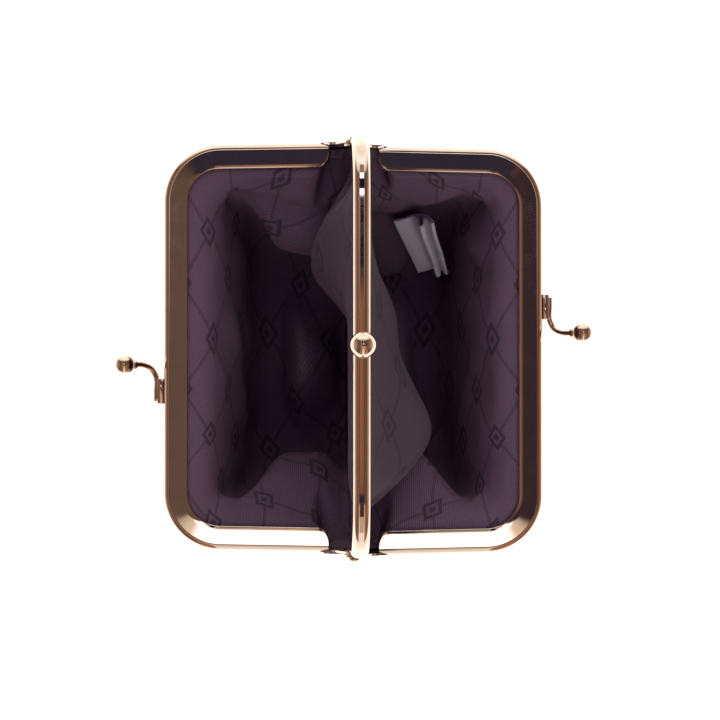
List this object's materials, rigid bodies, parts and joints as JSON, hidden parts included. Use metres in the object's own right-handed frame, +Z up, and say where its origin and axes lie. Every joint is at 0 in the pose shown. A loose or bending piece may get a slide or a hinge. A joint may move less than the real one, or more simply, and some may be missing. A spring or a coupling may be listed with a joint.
{
  "type": "frame coin purse",
  "caption": "Kiss-lock frame coin purse with two lined compartments, a fixed centre frame and two hinged frame halves, standing on its base with the mouth folded wide open.",
  "frame": {"origin": "centre of the base's resting face, under the hinge axis", "axes": "+Z up, +Y along the hinge axis, +X towards the rear frame half, with both halves folded open"},
  "size_m": [0.1288, 0.115, 0.1108],
  "materials": {
    "pale_gold_metal": "mirror-polished pale gold plating",
    "outer_cloth": "dark plum heavy woven cloth",
    "lining_cloth": "aubergine twill polyester with a tone-on-tone diamond trellis",
    "paper_cord": "matte twisted paper",
    "grey_board": "matte board",
    "satin_tape": "white satin tape, blank"
  },
  "bodies": {
    "root": {"centre_frame": "pale_gold_metal", "centre_channel_cord": "paper_cord", "centre_clasp_post": "pale_gold_metal", "centre_clasp_ball": "pale_gold_metal", "left_hinge_rivet": "pale_gold_metal", "right_hinge_rivet": "pale_gold_metal", "outer_front_panel": "outer_cloth", "outer_rear_panel": "outer_cloth", "outer_base": "outer_cloth", "base_board": "grey_board", "front_lining": "lining_cloth", "rear_lining": "lining_cloth", "divider_lining_front": "lining_cloth", "divider_lining_rear": "lining_cloth", "care_label": "satin_tape"},
    "front_half": {"front_frame_half": "pale_gold_metal", "front_channel_cord": "paper_cord", "front_clasp_foot": "pale_gold_metal", "front_clasp_arm": "pale_gold_metal", "front_clasp_ball": "pale_gold_metal"},
    "rear_half": {"rear_frame_half": "pale_gold_metal", "rear_channel_cord": "paper_cord", "rear_clasp_foot": "pale_gold_metal", "rear_clasp_arm": "pale_gold_metal", "rear_clasp_ball": "pale_gold_metal"}
  },
  "joints": [
    {"name": "front_frame_hinge", "type": "hinge", "parent": "root", "child": "front_half", "pos_m": [0, 0, 0.05], "axis": [0, 1, 0], "range_deg": [0, 90]},
    {"name": "rear_frame_hinge", "type": "hinge", "parent": "root", "child": "rear_half", "pos_m": [0, 0, 0.05], "axis": [0, -1, 0], "range_deg": [0, 90]}
  ]
}
